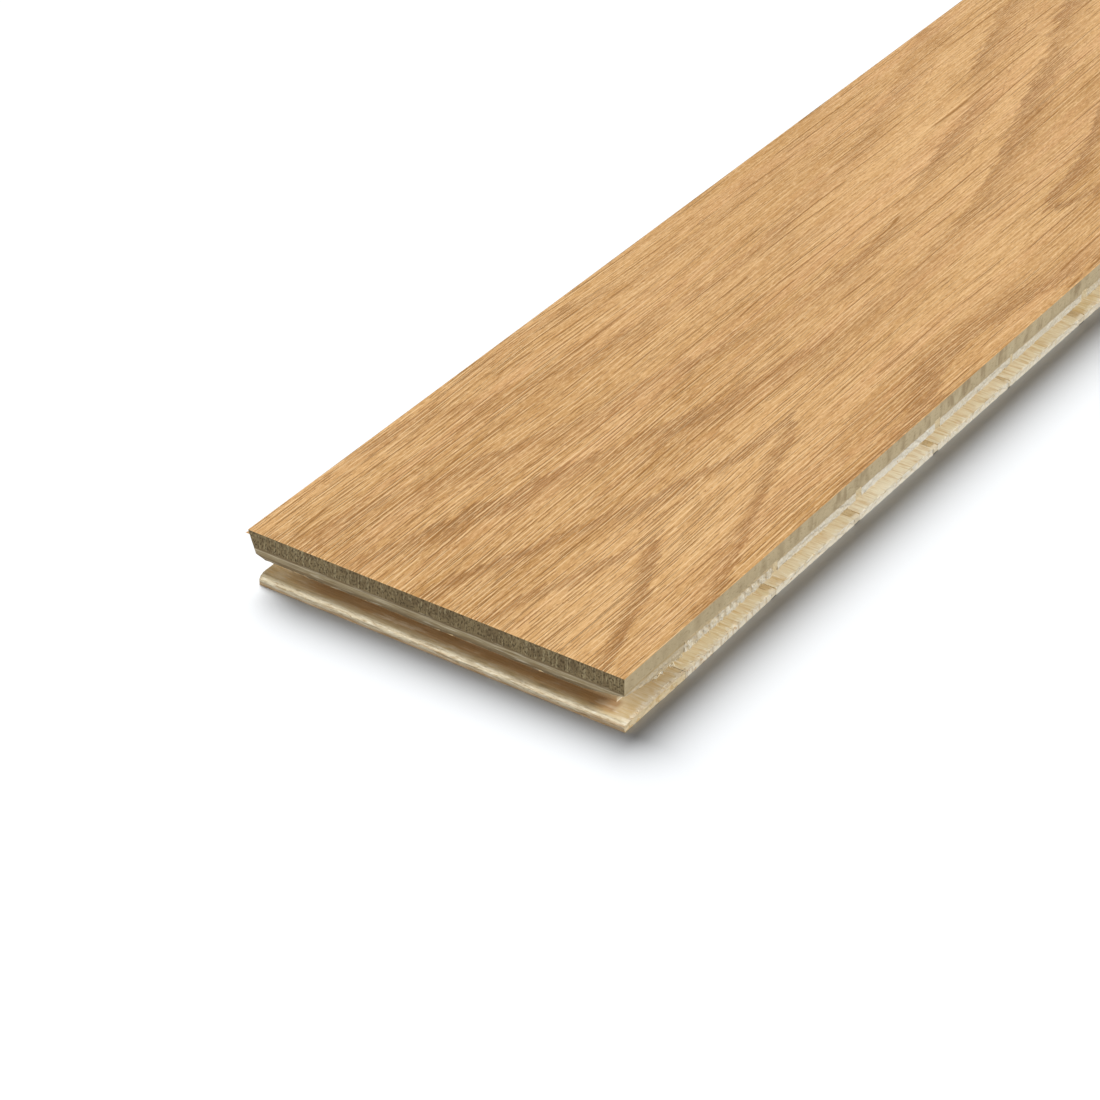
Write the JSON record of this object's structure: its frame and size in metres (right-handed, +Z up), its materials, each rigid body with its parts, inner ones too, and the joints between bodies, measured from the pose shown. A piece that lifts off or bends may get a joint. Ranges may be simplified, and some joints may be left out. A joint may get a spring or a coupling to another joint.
{
  "type": "wide plank floorboard",
  "caption": "Engineered floor plank with an oak wear layer on cross-laid softwood slats, milled with grooves and matching tongues to join neighbouring boards.",
  "frame": {"origin": "middle of the underside, under the centre of the overall box", "axes": "+X along the board from the grooved end to the tongued end, +Y across it from the grooved side to the tongued side, +Z up out of the oak face"},
  "size_m": [1.2286, 0.1564, 0.02],
  "materials": {
    "oak": "brushed, matt",
    "softwood": "sawn and milled, bare"
  },
  "bodies": {
    "root": {"oak_wear_layer": "oak", "core_slat_01": "softwood", "core_slat_02": "softwood", "core_slat_03": "softwood", "core_slat_04": "softwood", "core_slat_05": "softwood", "core_slat_06": "softwood", "core_slat_07": "softwood", "core_slat_08": "softwood", "core_slat_09": "softwood", "core_slat_10": "softwood", "core_slat_11": "softwood", "core_slat_12": "softwood", "core_slat_13": "softwood", "core_slat_14": "softwood", "core_slat_15": "softwood", "core_slat_16": "softwood", "core_slat_17": "softwood", "core_slat_18": "softwood", "core_slat_19": "softwood", "core_slat_20": "softwood", "core_slat_21": "softwood", "core_slat_22": "softwood", "core_slat_23": "softwood", "core_slat_24": "softwood"}
  },
  "joints": []
}
